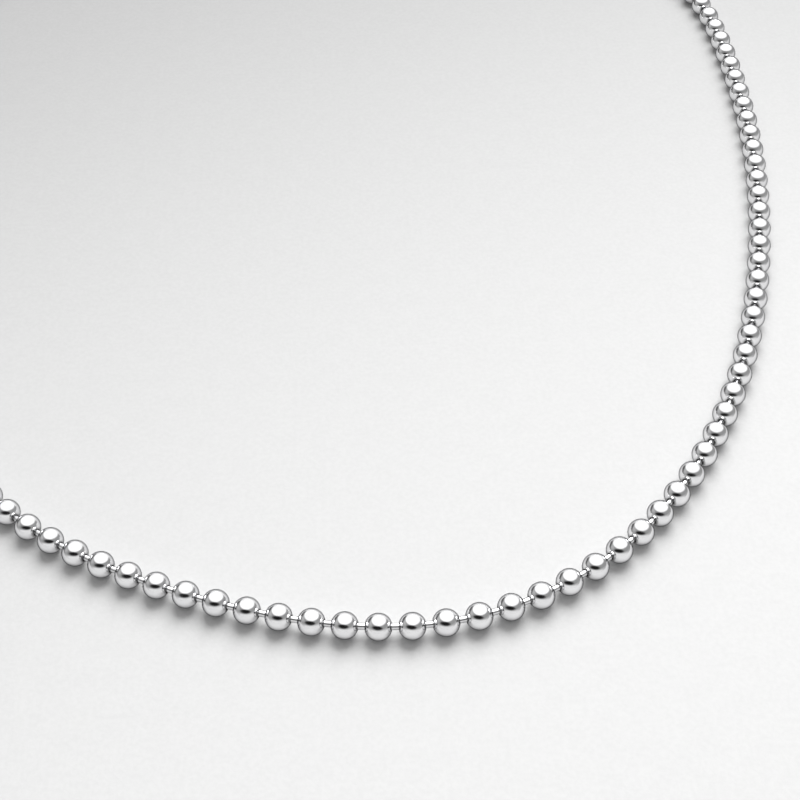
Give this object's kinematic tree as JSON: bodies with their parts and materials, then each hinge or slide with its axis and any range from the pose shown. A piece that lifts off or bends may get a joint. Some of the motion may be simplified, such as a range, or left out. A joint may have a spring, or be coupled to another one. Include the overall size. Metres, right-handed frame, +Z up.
{
  "type": "ball chain necklace",
  "caption": "Closed necklace of hollow polished metal balls, linked by short headed pins and joined by a snap coupling, lying flat as a loose rounded loop.",
  "frame": {"origin": "on the surface that the necklace lies on, under the middle of the loop's bounding box", "axes": "+Z up from the surface; +Y from the near bend, which the picture shows, to the far side; +X to the right arm"},
  "size_m": [0.1264, 0.1552, 0.0035],
  "materials": {
    "ball_metal": "mirror polished stainless steel",
    "pin_metal": "bright drawn wire with rounded heads",
    "coupling_metal": "polished pressed sheet"
  },
  "bodies": {
    "root": {"balls": "ball_metal", "link_pins": "pin_metal", "coupling": "coupling_metal"}
  },
  "joints": []
}
